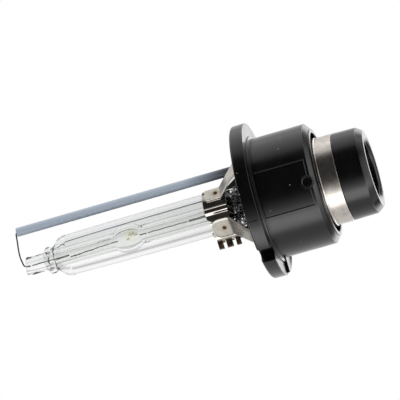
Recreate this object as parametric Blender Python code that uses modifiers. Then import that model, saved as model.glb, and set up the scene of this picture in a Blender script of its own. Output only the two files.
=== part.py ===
"""Discharge headlamp bulb: a quartz burner held by four legs in a moulded base with a round plug socket.

The bulb lies along X. The origin is on the bulb's axis in the front face of the base's flange, the plane
that seats against a headlamp reflector. The glass points to -X and the plug socket to +X. The ceramic return
tube is on the +Z side. Angles round the axis start at -Y and turn towards +Z.
"""

import math

import bmesh
import bpy
from mathutils import Matrix, Vector

# Every length below is in millimetres.
MM = 0.001

# Base moulding
FLANGE_RADIUS = 16.35
FLANGE_THICKNESS = 2.9
FLANGE_EASE = 0.25
FLANGE_ROUND = 0.6
STEP_RADIUS = 13.5
STEP_HEIGHT = 0.3
BODY_RADIUS = 12.8
BODY_END = 15.8
SHOULDER_START = 14.6
LIP_START = 15.45
LIP_RADIUS = 11.6
PANEL_RADIUS = 12.5
PANEL_SPAN = (3.6, 13.9)
PANEL_ANGLES = (-22.0, 21.5)
STOP_CENTRE = 13.7
STOP_RADIUS = 1.5
STOP_HEIGHT = 13.1
DISH_RADIUS = 12.4
DISH_DEPTH = 1.2
FLOOR_END = 4.2
NECK_BORE_RADIUS = 4.9
CAVITY_RADIUS = 8.4
GROOVE_RADIUS = 10.6
GROOVE_FLOOR = 13.4
KEY_PAD_ANGLES = (-132.0, -97.0)
KEY_PAD_HEIGHT = 0.5
KEY_FLOOR_RADIUS = 13.1
KEY_SLOT_ANGLE = -95.0
KEY_SLOT_WIDTH = 0.6
NOTCH_RADIUS = 14.3
NOTCH_ANGLES = (-54.0, -41.0)
RECESS_ANGLES = (-18.0, 21.0)

# Plug socket
SEAM = 0.1
RING_RADIUS = 9.3
RING_WALL = 0.55
RING_START = 11.7
COLLAR_START = 19.75
COLLAR_RADIUS = 9.25
COLLAR_END = 26.1
COLLAR_END_RADIUS = 8.1
SOCKET_MOUTH_RADIUS = 6.5
SOCKET_RADIUS = 6.1
SOCKET_FLOOR = 16.4
SOCKET_FLOOR_THICKNESS = 1.7
COLLAR_BORE_RADIUS = 6.9
PIN_RADIUS = 1.2
PIN_TIP = 23.4
PIN_HEAD_RADIUS = 2.6
PIN_HEAD = (13.7, 14.4)

# Inside the base
CEMENT_RADIUS = 6.2
CEMENT_END = 8.4
INSULATOR_SPAN = (8.7, 13.2)
INSULATOR_BORE = 0.6
INSULATOR_RADIUS = 1.7
STRAP_SPAN = (6.9, 11.4)
STRAP_OFFSET = 8.0
STRAP_THICKNESS = 0.3
STRAP_WIDTH = 2.0

# Glass
BULB_TIP = -45.5
BULB_REAR = 0.2
TUBE_FRONT_RADIUS = 4.35
TUBE_REAR_RADIUS = 4.6
GLASS_WALL = 0.85
NECK_RADIUS = 4.1
LEG_RADIUS = 1.95
LEG_BORE = 0.95
STUB_TIP = -50.1
BURNER_REAR = 6.0
ARC_CENTRE = -27.1
ARC_LENGTH = 7.6
ARC_RADIUS = 2.95
CHAMBER_LENGTH = 6.6
CHAMBER_RADIUS = 1.7

# Burner seal
ELECTRODE_RADIUS = 0.15
ELECTRODE_GAP = 4.2
ELECTRODE_LENGTH = 2.0
FOIL_LENGTH = 8.6
FOIL_WIDTH = 1.5
FOIL_THICKNESS = 0.12
INNER_GAP = 0.25
LEAD_RADIUS = 0.2
LEAD_FRONT = -48.6
LEAD_REAR = 13.4

# Return line
TUBE_OFFSET = 7.6
TUBE_RADIUS = 0.95
TUBE_BORE = 0.45
TUBE_FRONT = -50.0
TUBE_REAR = 3.6
RETURN_WIRE_RADIUS = 0.17
RETURN_WIRE_END = 6.6

# Clamp and legs
BAND_RADIUS = 4.95
BAND_WALL = 0.25
BAND_START = -9.6
BAND_END = -4.7
EAR_SPAN = (-8.6, -5.6)
COMB_SPAN = (-8.9, -3.6)
EAR_OFFSET = 4.85
EAR_THICKNESS = 0.22
EAR_HALF_WIDTH = 1.35
COMB_REACH = 5.3
TOOTH_DEPTH = 2.0
TOOTH_SLOT = 0.7
PAD_OFFSET = 5.5
LEG_THICKNESS = 0.35
LEG_ROOT_OFFSET = 11.2
LEG_ROOT_END = 2.9
LEG_ANGLES = (41.0, 139.0, -139.0, -41.0)

# Colours: (red, green, blue, roughness, metallic)
FINISHES = {
    "quartz": (0.90, 0.92, 0.92, 0.04, 0.0),
    "tungsten": (0.20, 0.20, 0.21, 0.40, 1.0),
    "molybdenum": (0.33, 0.33, 0.34, 0.35, 1.0),
    "ceramic": (0.30, 0.36, 0.44, 0.55, 0.0),
    "stainless": (0.45, 0.43, 0.40, 0.18, 1.0),
    "nickel": (0.66, 0.63, 0.58, 0.38, 1.0),
    "black_plastic": (0.02, 0.02, 0.022, 0.42, 0.0),
    "cement": (0.72, 0.70, 0.65, 0.90, 0.0),
}

ROUND_STEPS = 64
GLASS_STEPS = 40
SMALL_STEPS = 20

for old in list(bpy.data.objects):
    bpy.data.objects.remove(old)


def new_collection(name):
    collection = bpy.data.collections.new(name)
    bpy.context.scene.collection.children.link(collection)
    return collection


BULB = new_collection("headlight_bulb")
CUTTERS = new_collection("cutters")


def finish_material(name):
    """The Principled material of one finish, made once."""
    if name in bpy.data.materials:
        return bpy.data.materials[name]
    red, green, blue, roughness, metallic = FINISHES[name]
    material = bpy.data.materials.new(name)
    material.use_nodes = True
    shader = material.node_tree.nodes["Principled BSDF"]
    shader.inputs["Base Color"].default_value = (red, green, blue, 1.0)
    shader.inputs["Roughness"].default_value = roughness
    shader.inputs["Metallic"].default_value = metallic
    return material


def add_object(name, data, finish=None):
    """Links an object: a part when it has a finish, otherwise a cutter."""
    obj = bpy.data.objects.new(name, data)
    if finish:
        BULB.objects.link(obj)
        data.materials.append(finish_material(finish))
    else:
        CUTTERS.objects.link(obj)
        obj.hide_render = True
        obj.display_type = "WIRE"
    return obj


def turned(name, profile, finish=None, steps=ROUND_STEPS, offset=0.0):
    """A shape turned about the bulb's axis, or about a parallel to it at height offset.

    profile lists (x, radius) from the rear of the outer side to its front, then back along the inner side.
    A profile that starts and ends on the axis is solid, and any other is closed into a ring.
    """
    mesh = bpy.data.meshes.new(name)
    points = [(radius * MM, 0.0, x * MM) for x, radius in profile]
    edges = [(i, i + 1) for i in range(len(points) - 1)]
    if profile[0][1] > 0.0:
        edges.append((len(points) - 1, 0))
    mesh.from_pydata(points, edges, [])
    obj = add_object(name, mesh, finish)
    obj.location = (0.0, 0.0, offset * MM)
    obj.rotation_euler = (0.0, math.radians(90.0), 0.0)
    screw = obj.modifiers.new("Turn", "SCREW")
    screw.axis = "Z"
    screw.angle = math.radians(360.0)
    screw.steps = steps
    screw.render_steps = steps
    screw.use_merge_vertices = True
    screw.merge_threshold = 1e-6
    return obj


def arc_points(x, radius, size, start, end, count):
    """Points on a round of the given size about (x, radius), from start to end degrees.

    0 faces +X and 90 outwards.
    """
    points = []
    for i in range(count):
        angle = math.radians(start + (end - start) * i / (count - 1))
        points.append((x + size * math.cos(angle), radius + size * math.sin(angle)))
    return points


def around(angle):
    """The rotation that takes the -Y direction to the given angle round the bulb's axis."""
    return Matrix.Rotation(math.radians(-angle), 4, "X")


def box_mesh(name, low, high):
    """A box between two corners, in millimetres."""
    size = Vector(high) - Vector(low)
    centre = (Vector(high) + Vector(low)) / 2.0
    shape = bmesh.new()
    place = Matrix.Translation(centre * MM) @ Matrix.Diagonal((*size * MM, 1.0))
    bmesh.ops.create_cube(shape, size=1.0, matrix=place)
    mesh = bpy.data.meshes.new(name)
    shape.to_mesh(mesh)
    shape.free()
    return mesh


def box_at(name, angle, x_span, out_span, side_span, finish=None):
    """A box set round the axis: out_span is measured from the axis towards the angle, side_span across it."""
    low = (x_span[0], -out_span[1], side_span[0])
    high = (x_span[1], -out_span[0], side_span[1])
    obj = add_object(name, box_mesh(name, low, high), finish)
    obj.matrix_world = around(angle)
    return obj


def sector(name, x_span, radius_span, angle_span, count=8):
    """A cutter shaped as a piece of a ring round the bulb's axis."""
    outline = []
    for radius, order in ((radius_span[1], range(count)), (radius_span[0], reversed(range(count)))):
        for i in order:
            angle = math.radians(angle_span[0] + (angle_span[1] - angle_span[0]) * i / (count - 1))
            outline.append((-radius * math.cos(angle) * MM, radius * math.sin(angle) * MM))
    shape = bmesh.new()
    face = shape.faces.new([shape.verts.new((x_span[0] * MM, y, z)) for y, z in outline])
    pulled = bmesh.ops.extrude_face_region(shape, geom=[face])
    moved = [item for item in pulled["geom"] if isinstance(item, bmesh.types.BMVert)]
    bmesh.ops.translate(shape, verts=moved, vec=((x_span[1] - x_span[0]) * MM, 0.0, 0.0))
    bmesh.ops.recalc_face_normals(shape, faces=shape.faces)
    mesh = bpy.data.meshes.new(name)
    shape.to_mesh(mesh)
    shape.free()
    return add_object(name, mesh)


def boolean(obj, other, operation):
    modifier = obj.modifiers.new(other.name, "BOOLEAN")
    modifier.operation = operation
    modifier.object = other
    modifier.solver = "EXACT"


def freeze(obj, sharp_angle=35.0):
    """Turns the modifiers into plain mesh and shades it smooth except at its edges."""
    bpy.context.view_layer.update()
    graph = bpy.context.evaluated_depsgraph_get()
    mesh = bpy.data.meshes.new_from_object(obj.evaluated_get(graph))
    obj.modifiers.clear()
    obj.data = mesh
    mesh.name = obj.name
    mesh.shade_smooth()
    mesh.set_sharp_from_angle(angle=math.radians(sharp_angle))


def wire(name, points, radius, finish):
    """A round wire through the given points, in millimetres, with closed ends."""
    curve = bpy.data.curves.new(name, "CURVE")
    curve.dimensions = "3D"
    curve.bevel_depth = radius * MM
    curve.bevel_resolution = 2
    curve.use_fill_caps = True
    spline = curve.splines.new("POLY")
    spline.points.add(len(points) - 1)
    for point, place in zip(spline.points, points):
        point.co = (*(Vector(place) * MM), 1.0)
    return add_object(name, curve, finish)


def bend(corner, before, after, radius, count=5):
    """Points that round off a corner between two straight runs."""
    corner = Vector(corner)
    to_before = (Vector(before) - corner).normalized()
    to_after = (Vector(after) - corner).normalized()
    start = corner + to_before * radius
    end = corner + to_after * radius
    points = []
    for i in range(count):
        part = i / (count - 1)
        first = start.lerp(corner, part)
        second = corner.lerp(end, part)
        points.append(first.lerp(second, part))
    return points


# ---------------------------------------------------------------- base


def round_stop():
    """The round stop on the near side of the body, as a shape to be joined to it."""
    depth = 1.6
    lying = Matrix.Rotation(math.radians(90.0), 4, "X")
    place = Matrix.Translation(Vector((STOP_CENTRE, depth / 2.0 - STOP_HEIGHT, 0.0)) * MM)
    shape = bmesh.new()
    bmesh.ops.create_cone(
        shape, cap_ends=True, segments=16, radius1=STOP_RADIUS * MM, radius2=(STOP_RADIUS - 0.1) * MM,
        depth=depth * MM, matrix=place @ lying,
    )
    mesh = bpy.data.meshes.new("round_stop")
    shape.to_mesh(mesh)
    shape.free()
    return add_object("round_stop", mesh)


def make_base_housing():
    """The black base moulding: seating flange, cup-shaped body and rear rim, with its keys and panel."""
    profile = [
        (BODY_END, GROOVE_RADIUS),
        (BODY_END, LIP_RADIUS - 0.3),
        (BODY_END - 0.15, LIP_RADIUS - 0.1),
        (LIP_START, LIP_RADIUS),
        (SHOULDER_START + 0.15, BODY_RADIUS - 0.15),
        (SHOULDER_START - 0.1, BODY_RADIUS),
        (FLANGE_THICKNESS + STEP_HEIGHT, BODY_RADIUS),
        (FLANGE_THICKNESS + STEP_HEIGHT, STEP_RADIUS),
        (FLANGE_THICKNESS, STEP_RADIUS),
        (FLANGE_THICKNESS, FLANGE_RADIUS - FLANGE_EASE),
        (FLANGE_THICKNESS - FLANGE_EASE, FLANGE_RADIUS),
        *arc_points(FLANGE_ROUND, FLANGE_RADIUS - FLANGE_ROUND, FLANGE_ROUND, 90.0, 180.0, 3),
        (0.0, DISH_RADIUS),
        (DISH_DEPTH, DISH_RADIUS),
        (DISH_DEPTH, NECK_BORE_RADIUS),
        (FLOOR_END, NECK_BORE_RADIUS),
        (FLOOR_END, CAVITY_RADIUS),
        (RING_START - SEAM, CAVITY_RADIUS),
        (RING_START - SEAM, RING_RADIUS + SEAM),
        (GROOVE_FLOOR, RING_RADIUS + SEAM),
        (GROOVE_FLOOR, GROOVE_RADIUS),
    ]
    base = turned("base_housing", profile, "black_plastic")
    freeze(base)
    # Pad behind the flange on the far side of the lower key slot.
    key_height = FLANGE_THICKNESS + KEY_PAD_HEIGHT
    pad_depth = (FLANGE_THICKNESS - 0.5, key_height)
    pad = sector("key_pad", pad_depth, (BODY_RADIUS - 0.5, FLANGE_RADIUS - 0.4), KEY_PAD_ANGLES)
    boolean(base, pad, "UNION")
    boolean(base, round_stop(), "UNION")
    beyond = FLANGE_RADIUS + 1.0
    slot_depth = (FLANGE_THICKNESS - 0.8, key_height + 0.3)
    slot_half = KEY_SLOT_WIDTH / 2.0
    hole_radius = TUBE_RADIUS + 0.3
    hole = [(5.0, 0.0), (5.0, hole_radius), (0.0, hole_radius), (0.0, 0.0)]
    cuts = [
        sector("rim_notch", (-1.0, FLANGE_THICKNESS + 1.0), (NOTCH_RADIUS, beyond), NOTCH_ANGLES),
        sector("rim_recess", (-1.0, FLANGE_THICKNESS - 0.7), (FLANGE_RADIUS - 0.15, beyond), RECESS_ANGLES),
        sector("side_panel", PANEL_SPAN, (PANEL_RADIUS, BODY_RADIUS + 1.0), PANEL_ANGLES),
        box_at("key_slot", KEY_SLOT_ANGLE, slot_depth, (KEY_FLOOR_RADIUS, beyond), (-slot_half, slot_half)),
        turned("tube_hole", hole, steps=SMALL_STEPS, offset=TUBE_OFFSET),
    ]
    half = LEG_THICKNESS / 2.0 + 0.2
    pocket = (LEG_ROOT_OFFSET - half, LEG_ROOT_OFFSET + half)
    for index, angle in enumerate(LEG_ANGLES):
        name = f"leg_pocket_{index + 1}"
        cuts.append(box_at(name, angle, (0.5, LEG_ROOT_END + 0.3), pocket, (-2.3, 2.3)))
    for cut in cuts:
        boolean(base, cut, "DIFFERENCE")
    freeze(base)


def make_contact_ring():
    """The bare metal ring round the plug socket, the lamp's low side contact."""
    inner = RING_RADIUS - RING_WALL
    profile = [
        (COLLAR_START - SEAM, inner),
        (COLLAR_START - SEAM, RING_RADIUS - 0.1),
        (COLLAR_START - SEAM - 0.1, RING_RADIUS),
        (16.1, RING_RADIUS),
        (15.9, RING_RADIUS + 0.15),
        (15.3, RING_RADIUS + 0.15),
        (15.1, RING_RADIUS),
        (RING_START, RING_RADIUS),
        (RING_START, inner),
    ]
    freeze(turned("contact_ring", profile, "nickel"))


def make_socket_collar():
    """The insulating sleeve that carries the contact ring outside and the centre contact inside."""
    sleeve = RING_RADIUS - RING_WALL - SEAM
    profile = [
        (COLLAR_END - 0.5, SOCKET_RADIUS),
        (COLLAR_END, SOCKET_MOUTH_RADIUS),
        (COLLAR_END, COLLAR_END_RADIUS),
        (COLLAR_END - 1.35, COLLAR_RADIUS - 0.15),
        (COLLAR_END - 1.6, COLLAR_RADIUS - 0.1),
        (COLLAR_START, COLLAR_RADIUS),
        (COLLAR_START, sleeve),
        (RING_START + SEAM, sleeve),
        (RING_START + SEAM, COLLAR_BORE_RADIUS),
        (SOCKET_FLOOR - SOCKET_FLOOR_THICKNESS, COLLAR_BORE_RADIUS),
        (SOCKET_FLOOR - SOCKET_FLOOR_THICKNESS, PIN_RADIUS + 0.3),
        (SOCKET_FLOOR, PIN_RADIUS + 0.3),
        (SOCKET_FLOOR, SOCKET_RADIUS),
    ]
    freeze(turned("socket_collar", profile, "black_plastic"))


def make_centre_contact():
    """The high-voltage pin in the middle of the socket, with its head behind the socket's floor."""
    profile = [
        (PIN_TIP, 0.0),
        (PIN_TIP - 0.12, 0.6),
        (PIN_TIP - 0.6, PIN_RADIUS),
        (PIN_HEAD[1], PIN_RADIUS),
        (PIN_HEAD[1], PIN_HEAD_RADIUS),
        (PIN_HEAD[0], PIN_HEAD_RADIUS),
        (PIN_HEAD[0], 0.0),
    ]
    freeze(turned("centre_contact", profile, "nickel", SMALL_STEPS))


def make_inner_base_parts():
    """Cement round the glass, the insulator round the hot lead and the strap to the contact ring."""
    bore = LEG_RADIUS + 0.15
    cement = [
        (CEMENT_END, bore),
        (CEMENT_END, CEMENT_RADIUS),
        (FLOOR_END + INNER_GAP, CEMENT_RADIUS),
        (FLOOR_END + INNER_GAP, NECK_BORE_RADIUS - INNER_GAP),
        (BULB_REAR + 0.3, NECK_BORE_RADIUS - INNER_GAP),
        (BULB_REAR + 0.3, bore),
    ]
    freeze(turned("potting_cement", cement, "cement", 32))
    front, rear = INSULATOR_SPAN
    insulator = [
        (rear, INSULATOR_BORE), (rear, INSULATOR_RADIUS), (front, INSULATOR_RADIUS), (front, INSULATOR_BORE),
    ]
    freeze(turned("lead_insulator", insulator, "ceramic", SMALL_STEPS))
    out_span = (STRAP_OFFSET - STRAP_THICKNESS / 2.0, STRAP_OFFSET + STRAP_THICKNESS / 2.0)
    width = (-STRAP_WIDTH / 2.0, STRAP_WIDTH / 2.0)
    freeze(box_at("return_strap", 90.0, STRAP_SPAN, out_span, width, "nickel"))


# ---------------------------------------------------------------- glass


def oval(centre, length, radius, start, end, count):
    """Points on an oval about (centre, 0), from start to end degrees. 0 is its rear end and 180 its front."""
    points = []
    for i in range(count):
        angle = math.radians(start + (end - start) * i / (count - 1))
        points.append((centre + length / 2.0 * math.cos(angle), radius * math.sin(angle)))
    return points


def make_outer_bulb():
    """The outer quartz envelope: a tube drawn in to a thick ring at the tip and to a neck at the base."""
    bore = LEG_RADIUS + 0.15
    profile = [
        (BULB_REAR, NECK_RADIUS - GLASS_WALL),
        (BULB_REAR, NECK_RADIUS - 0.1),
        (-0.2, NECK_RADIUS + 0.2),
        (-0.9, NECK_RADIUS),
        (-3.6, NECK_RADIUS),
        (-4.6, 4.3),
        (-5.6, TUBE_REAR_RADIUS),
        (-30.0, 4.5),
        (-40.2, TUBE_FRONT_RADIUS),
        (-41.6, 4.15),
        (-42.6, 3.6),
        (-43.2, 2.75),
        (-43.6, 2.6),
        (-44.2, 2.9),
        (-44.9, 2.9),
        (BULB_TIP, 2.5),
        (BULB_TIP, bore),
        (-42.6, bore),
        (-41.6, 2.7),
        (-40.6, 3.35),
        (-39.6, TUBE_FRONT_RADIUS - GLASS_WALL),
        (-5.8, TUBE_REAR_RADIUS - GLASS_WALL),
        (-4.4, NECK_RADIUS - GLASS_WALL),
    ]
    freeze(turned("outer_bulb", profile, "quartz", GLASS_STEPS))


def make_arc_tube():
    """The burner: an egg-shaped discharge chamber between two long hollow legs."""
    meet_out = math.degrees(math.asin(LEG_RADIUS / ARC_RADIUS))
    meet_in = math.degrees(math.asin(LEG_BORE / CHAMBER_RADIUS))
    profile = [
        (BURNER_REAR, LEG_BORE),
        (BURNER_REAR, LEG_RADIUS),
        *oval(ARC_CENTRE, ARC_LENGTH, ARC_RADIUS, meet_out, 180.0 - meet_out, 9),
        (STUB_TIP + 0.4, LEG_RADIUS),
        (STUB_TIP, LEG_RADIUS - 0.3),
        (STUB_TIP, LEG_BORE),
        *oval(ARC_CENTRE, CHAMBER_LENGTH, CHAMBER_RADIUS, 180.0 - meet_in, meet_in, 9),
    ]
    freeze(turned("arc_tube", profile, "quartz", 32))


def make_burner_metal():
    """Electrodes, sealing foils and lead wires, front and rear, in line along the axis."""
    tip = ELECTRODE_GAP / 2.0
    for end, side in (("front", -1.0), ("rear", 1.0)):
        inner = ARC_CENTRE + side * tip
        outer = inner + side * ELECTRODE_LENGTH
        wire(f"electrode_{end}", [(inner, 0.0, 0.0), (outer, 0.0, 0.0)], ELECTRODE_RADIUS, "tungsten")
        foil_start = outer + side * INNER_GAP
        foil_end = foil_start + side * FOIL_LENGTH
        span = (min(foil_start, foil_end), max(foil_start, foil_end))
        half = FOIL_THICKNESS / 2.0
        width = (-FOIL_WIDTH / 2.0, FOIL_WIDTH / 2.0)
        box_at(f"foil_{end}", 60.0, span, (-half, half), width, "molybdenum")
        lead_start = foil_end + side * INNER_GAP
        lead_end = LEAD_REAR if end == "rear" else LEAD_FRONT
        wire(f"lead_wire_{end}", [(lead_start, 0.0, 0.0), (lead_end, 0.0, 0.0)], LEAD_RADIUS, "molybdenum")


# ---------------------------------------------------------------- return line


def make_return_line():
    """The ceramic tube beside the bulb, and the wire from the glass tip up to it and through it."""
    tube = [
        (TUBE_REAR, TUBE_BORE), (TUBE_REAR, TUBE_RADIUS), (TUBE_FRONT, TUBE_RADIUS), (TUBE_FRONT, TUBE_BORE),
    ]
    freeze(turned("ceramic_tube", tube, "ceramic", SMALL_STEPS, TUBE_OFFSET))
    start = (LEAD_FRONT - INNER_GAP, 0.0, 0.0)
    low_corner = (STUB_TIP - 0.8, 0.0, 0.0)
    high_corner = (TUBE_FRONT - 0.4, 0.0, TUBE_OFFSET)
    end = (RETURN_WIRE_END, 0.0, TUBE_OFFSET)
    low_bend = bend(low_corner, start, high_corner, 1.3)
    high_bend = bend(high_corner, low_corner, end, 0.35)
    route = [start, *low_bend, *high_bend, end]
    wire("return_wire", route, RETURN_WIRE_RADIUS, "molybdenum")


# ---------------------------------------------------------------- clamp and legs


def make_clamp_band():
    """The polished band round the glass, with four flat ears for the legs. The lower two end in teeth."""
    inner = BAND_RADIUS - BAND_WALL
    profile = [
        (BAND_END, inner), (BAND_END, BAND_RADIUS), (BAND_START, BAND_RADIUS), (BAND_START, inner),
    ]
    band = turned("clamp_band", profile, "stainless", 48)
    freeze(band)
    bore = turned("band_bore", [(0.0, 0.0), (0.0, inner), (-12.0, inner), (-12.0, 0.0)], steps=48)
    out_span = (EAR_OFFSET - EAR_THICKNESS / 2.0, EAR_OFFSET + EAR_THICKNESS / 2.0)
    pitch = (COMB_SPAN[1] - COMB_SPAN[0] + TOOTH_SLOT) / 3.0
    for index, angle in enumerate(LEG_ANGLES):
        # The teeth point to the bottom of the bulb, where the band is closed.
        comb_side = 0.0 if angle > 0.0 else math.copysign(1.0, -90.0 - angle)
        low = -COMB_REACH if comb_side < 0.0 else -EAR_HALF_WIDTH
        high = COMB_REACH if comb_side > 0.0 else EAR_HALF_WIDTH
        ear = box_at(f"ear_{index + 1}", angle, COMB_SPAN if comb_side else EAR_SPAN, out_span, (low, high))
        for tooth in (1, 2) if comb_side else ():
            middle = COMB_SPAN[0] - TOOTH_SLOT / 2.0 + pitch * tooth
            width = (middle - TOOTH_SLOT / 2.0, middle + TOOTH_SLOT / 2.0)
            ends = sorted((comb_side * (COMB_REACH - TOOTH_DEPTH), comb_side * (COMB_REACH + 1.0)))
            depth = (EAR_OFFSET - 1.0, EAR_OFFSET + 1.0)
            slot = box_at(f"ear_slot_{index + 1}_{tooth}", angle, width, depth, ends)
            boolean(ear, slot, "DIFFERENCE")
        boolean(ear, bore, "DIFFERENCE")
        boolean(band, ear, "UNION")
    freeze(band)


def leg_mesh(name, stations):
    """A bent strap: each station is (x, distance from the axis, half width)."""
    shape = bmesh.new()
    rows = []
    for x, out, half in stations:
        rows.append([shape.verts.new((x * MM, -out * MM, side * half * MM)) for side in (-1.0, 1.0)])
    for first, second in zip(rows, rows[1:]):
        shape.faces.new((first[0], first[1], second[1], second[0]))
    bmesh.ops.recalc_face_normals(shape, faces=shape.faces)
    mesh = bpy.data.meshes.new(name)
    shape.to_mesh(mesh)
    shape.free()
    return mesh


def make_support_legs():
    """Four nickel-plated straps from the base to the band's ears, in two widths."""
    narrow = [
        (-8.8, PAD_OFFSET, 1.4), (-8.5, PAD_OFFSET, 1.5), (-5.6, PAD_OFFSET, 1.5),
        (-5.35, PAD_OFFSET + 0.1, 1.5), (-2.6, 9.0, 1.45), (-0.7, LEG_ROOT_OFFSET - 0.3, 1.9),
        (0.0, LEG_ROOT_OFFSET, 1.95), (LEG_ROOT_END, LEG_ROOT_OFFSET, 1.95),
    ]
    broad = [
        (-8.8, PAD_OFFSET, 1.3), (-8.6, PAD_OFFSET, 1.7), (-8.1, PAD_OFFSET, 2.2), (-7.4, PAD_OFFSET, 2.4),
        (-5.4, PAD_OFFSET, 2.4), (-4.8, PAD_OFFSET + 0.2, 2.15), (-2.7, 8.7, 1.75),
        (-0.9, LEG_ROOT_OFFSET - 0.25, 1.6), (-0.1, LEG_ROOT_OFFSET, 1.6),
        (LEG_ROOT_END, LEG_ROOT_OFFSET, 1.6),
    ]
    for index, angle in enumerate(LEG_ANGLES):
        name = f"support_leg_{index + 1}"
        leg = add_object(name, leg_mesh(name, broad if angle < 0.0 else narrow), "nickel")
        leg.matrix_world = around(angle)
        shell = leg.modifiers.new("Sheet", "SOLIDIFY")
        shell.thickness = LEG_THICKNESS * MM
        shell.offset = 0.0
        shell.use_even_offset = True
        freeze(leg)


make_base_housing()
make_contact_ring()
make_socket_collar()
make_centre_contact()
make_inner_base_parts()
make_outer_bulb()
make_arc_tube()
make_burner_metal()
make_return_line()
make_clamp_band()
make_support_legs()
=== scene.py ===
"""The looks of the headlight bulb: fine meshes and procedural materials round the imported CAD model."""

import math

import bmesh
import bpy
from mathutils import Matrix, Vector, noise


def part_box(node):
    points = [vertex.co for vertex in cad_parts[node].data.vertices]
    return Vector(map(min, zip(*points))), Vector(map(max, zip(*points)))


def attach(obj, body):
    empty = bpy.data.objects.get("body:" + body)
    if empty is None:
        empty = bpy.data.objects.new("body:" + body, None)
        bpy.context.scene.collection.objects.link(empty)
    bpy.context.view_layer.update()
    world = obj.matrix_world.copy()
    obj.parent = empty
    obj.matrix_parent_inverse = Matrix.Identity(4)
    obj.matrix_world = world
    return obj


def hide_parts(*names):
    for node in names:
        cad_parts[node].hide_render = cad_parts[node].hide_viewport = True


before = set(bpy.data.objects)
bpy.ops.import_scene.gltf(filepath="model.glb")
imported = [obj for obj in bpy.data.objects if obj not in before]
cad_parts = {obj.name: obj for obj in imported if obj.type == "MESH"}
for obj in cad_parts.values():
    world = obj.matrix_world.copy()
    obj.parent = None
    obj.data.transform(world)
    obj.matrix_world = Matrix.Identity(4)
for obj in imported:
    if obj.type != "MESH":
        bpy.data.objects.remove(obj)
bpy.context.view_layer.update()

# Lengths are in millimetres. Angles round the bulb's axis start at -Y, the near side, and turn towards +Z.
MM = 0.001

# ---------------------------------------------------------------- sizes read from the CAD model


def span(node, axis):
    """Lowest and highest coordinate of a CAD node along one axis, in millimetres."""
    low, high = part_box(node)
    return low[axis] / MM, high[axis] / MM


X, Y, Z = range(3)
FLANGE_FRONT, BODY_END = span("base_housing", X)
FLANGE_RADIUS = span("base_housing", Z)[1]
RING_START, RING_END = span("contact_ring", X)
COLLAR_FRONT, COLLAR_END = span("socket_collar", X)
COLLAR_RADIUS = span("socket_collar", Z)[1]
PIN_START, PIN_TIP = span("centre_contact", X)
BULB_TIP, BULB_REAR = span("outer_bulb", X)
STUB_TIP, BURNER_REAR = span("arc_tube", X)
TUBE_FRONT, TUBE_REAR = span("ceramic_tube", X)
TUBE_OFFSET = sum(span("ceramic_tube", Z)) / 2.0
TUBE_RADIUS = (span("ceramic_tube", Z)[1] - span("ceramic_tube", Z)[0]) / 2.0
BAND_START = span("clamp_band", X)[0]
ARC_CENTRE = (span("electrode_front", X)[1] + span("electrode_rear", X)[0]) / 2.0

# Sizes that the CAD boxes don't show, the same as in the CAD model
FLANGE_THICKNESS = 2.9
STEP_RADIUS = 13.5
STEP_HEIGHT = 0.3
BODY_RADIUS = 12.8
SHOULDER_START = 14.6
LIP_START = 15.45
PANEL_RADIUS = 12.5
PANEL_SPAN = (3.6, 13.9)
PANEL_ANGLES = (-22.0, 21.5)
STOP_CENTRE = 13.7
STOP_RADIUS = 1.5
STOP_HEIGHT = 13.1
GROOVE_RADIUS = 10.6
GROOVE_FLOOR = 13.4
DISH_RADIUS = 12.4
DISH_DEPTH = 1.2
FLOOR_END = 4.2
NECK_BORE_RADIUS = 4.9
CAVITY_RADIUS = 8.4
KEY_PAD_ANGLES = (-132.0, -97.0)
KEY_PAD_HEIGHT = 0.5
KEY_PAD_RADII = (12.3, 15.95)
KEY_FLOOR_RADIUS = 13.1
KEY_SLOT_ANGLE = -95.0
KEY_SLOT_WIDTH = 0.6
NOTCH_RADIUS = 14.3
NOTCH_ANGLES = (-54.0, -41.0)
RECESS_ANGLES = (-18.0, 21.0)
RECESS_RADIUS = 16.2
BEYOND = 18.0
RING_RADIUS = 9.3
RING_WALL = 0.55
COLLAR_START = 19.75
COLLAR_END_RADIUS = 8.1
COLLAR_BORE_RADIUS = 6.9
SOCKET_RADIUS = 6.1
SOCKET_FLOOR = 16.4
SOCKET_BACK = 14.7
PIN_RADIUS = 1.2
PIN_HEAD_RADIUS = 2.6
PIN_HEAD_END = 14.4
SEAM = 0.1
NECK_RADIUS = 4.1
TUBE_FRONT_RADIUS = 4.35
TUBE_REAR_RADIUS = 4.6
ARC_LENGTH = 7.6
CHAMBER_LENGTH = 6.6
CHAMBER_RADIUS = 1.7
TUBE_BORE = 0.45
LEG_RADIUS = 1.95
LEG_BORE = 0.95
BAND_RADIUS = 4.95
BAND_WALL = 0.25
BAND_END = -4.7
EAR_THICKNESS = 0.22
PAD_OFFSET = 5.5
LEG_THICKNESS = 0.35
LEG_ROOT_OFFSET = 11.2
LEG_ROOT_END = 2.9
LEG_ANGLES = (41.0, 139.0, -139.0, -41.0)

# Sizes of the visual model alone
LIP_RADIUS = 11.5
PANEL_EDGES = (3.5, 3.6, 6.0, 9.0, 12.0, 13.8, 13.9)
RIB = (14.0, 14.12)
RIB_HEIGHT = 0.12
GLASS_WALL = 1.5
FOIL_ANGLE = 82.0
EAR_OFFSET = 4.86

FINE_STEPS = 144
GLASS_STEPS = 96
SMALL_STEPS = 48

# ---------------------------------------------------------------- material tools


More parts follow.
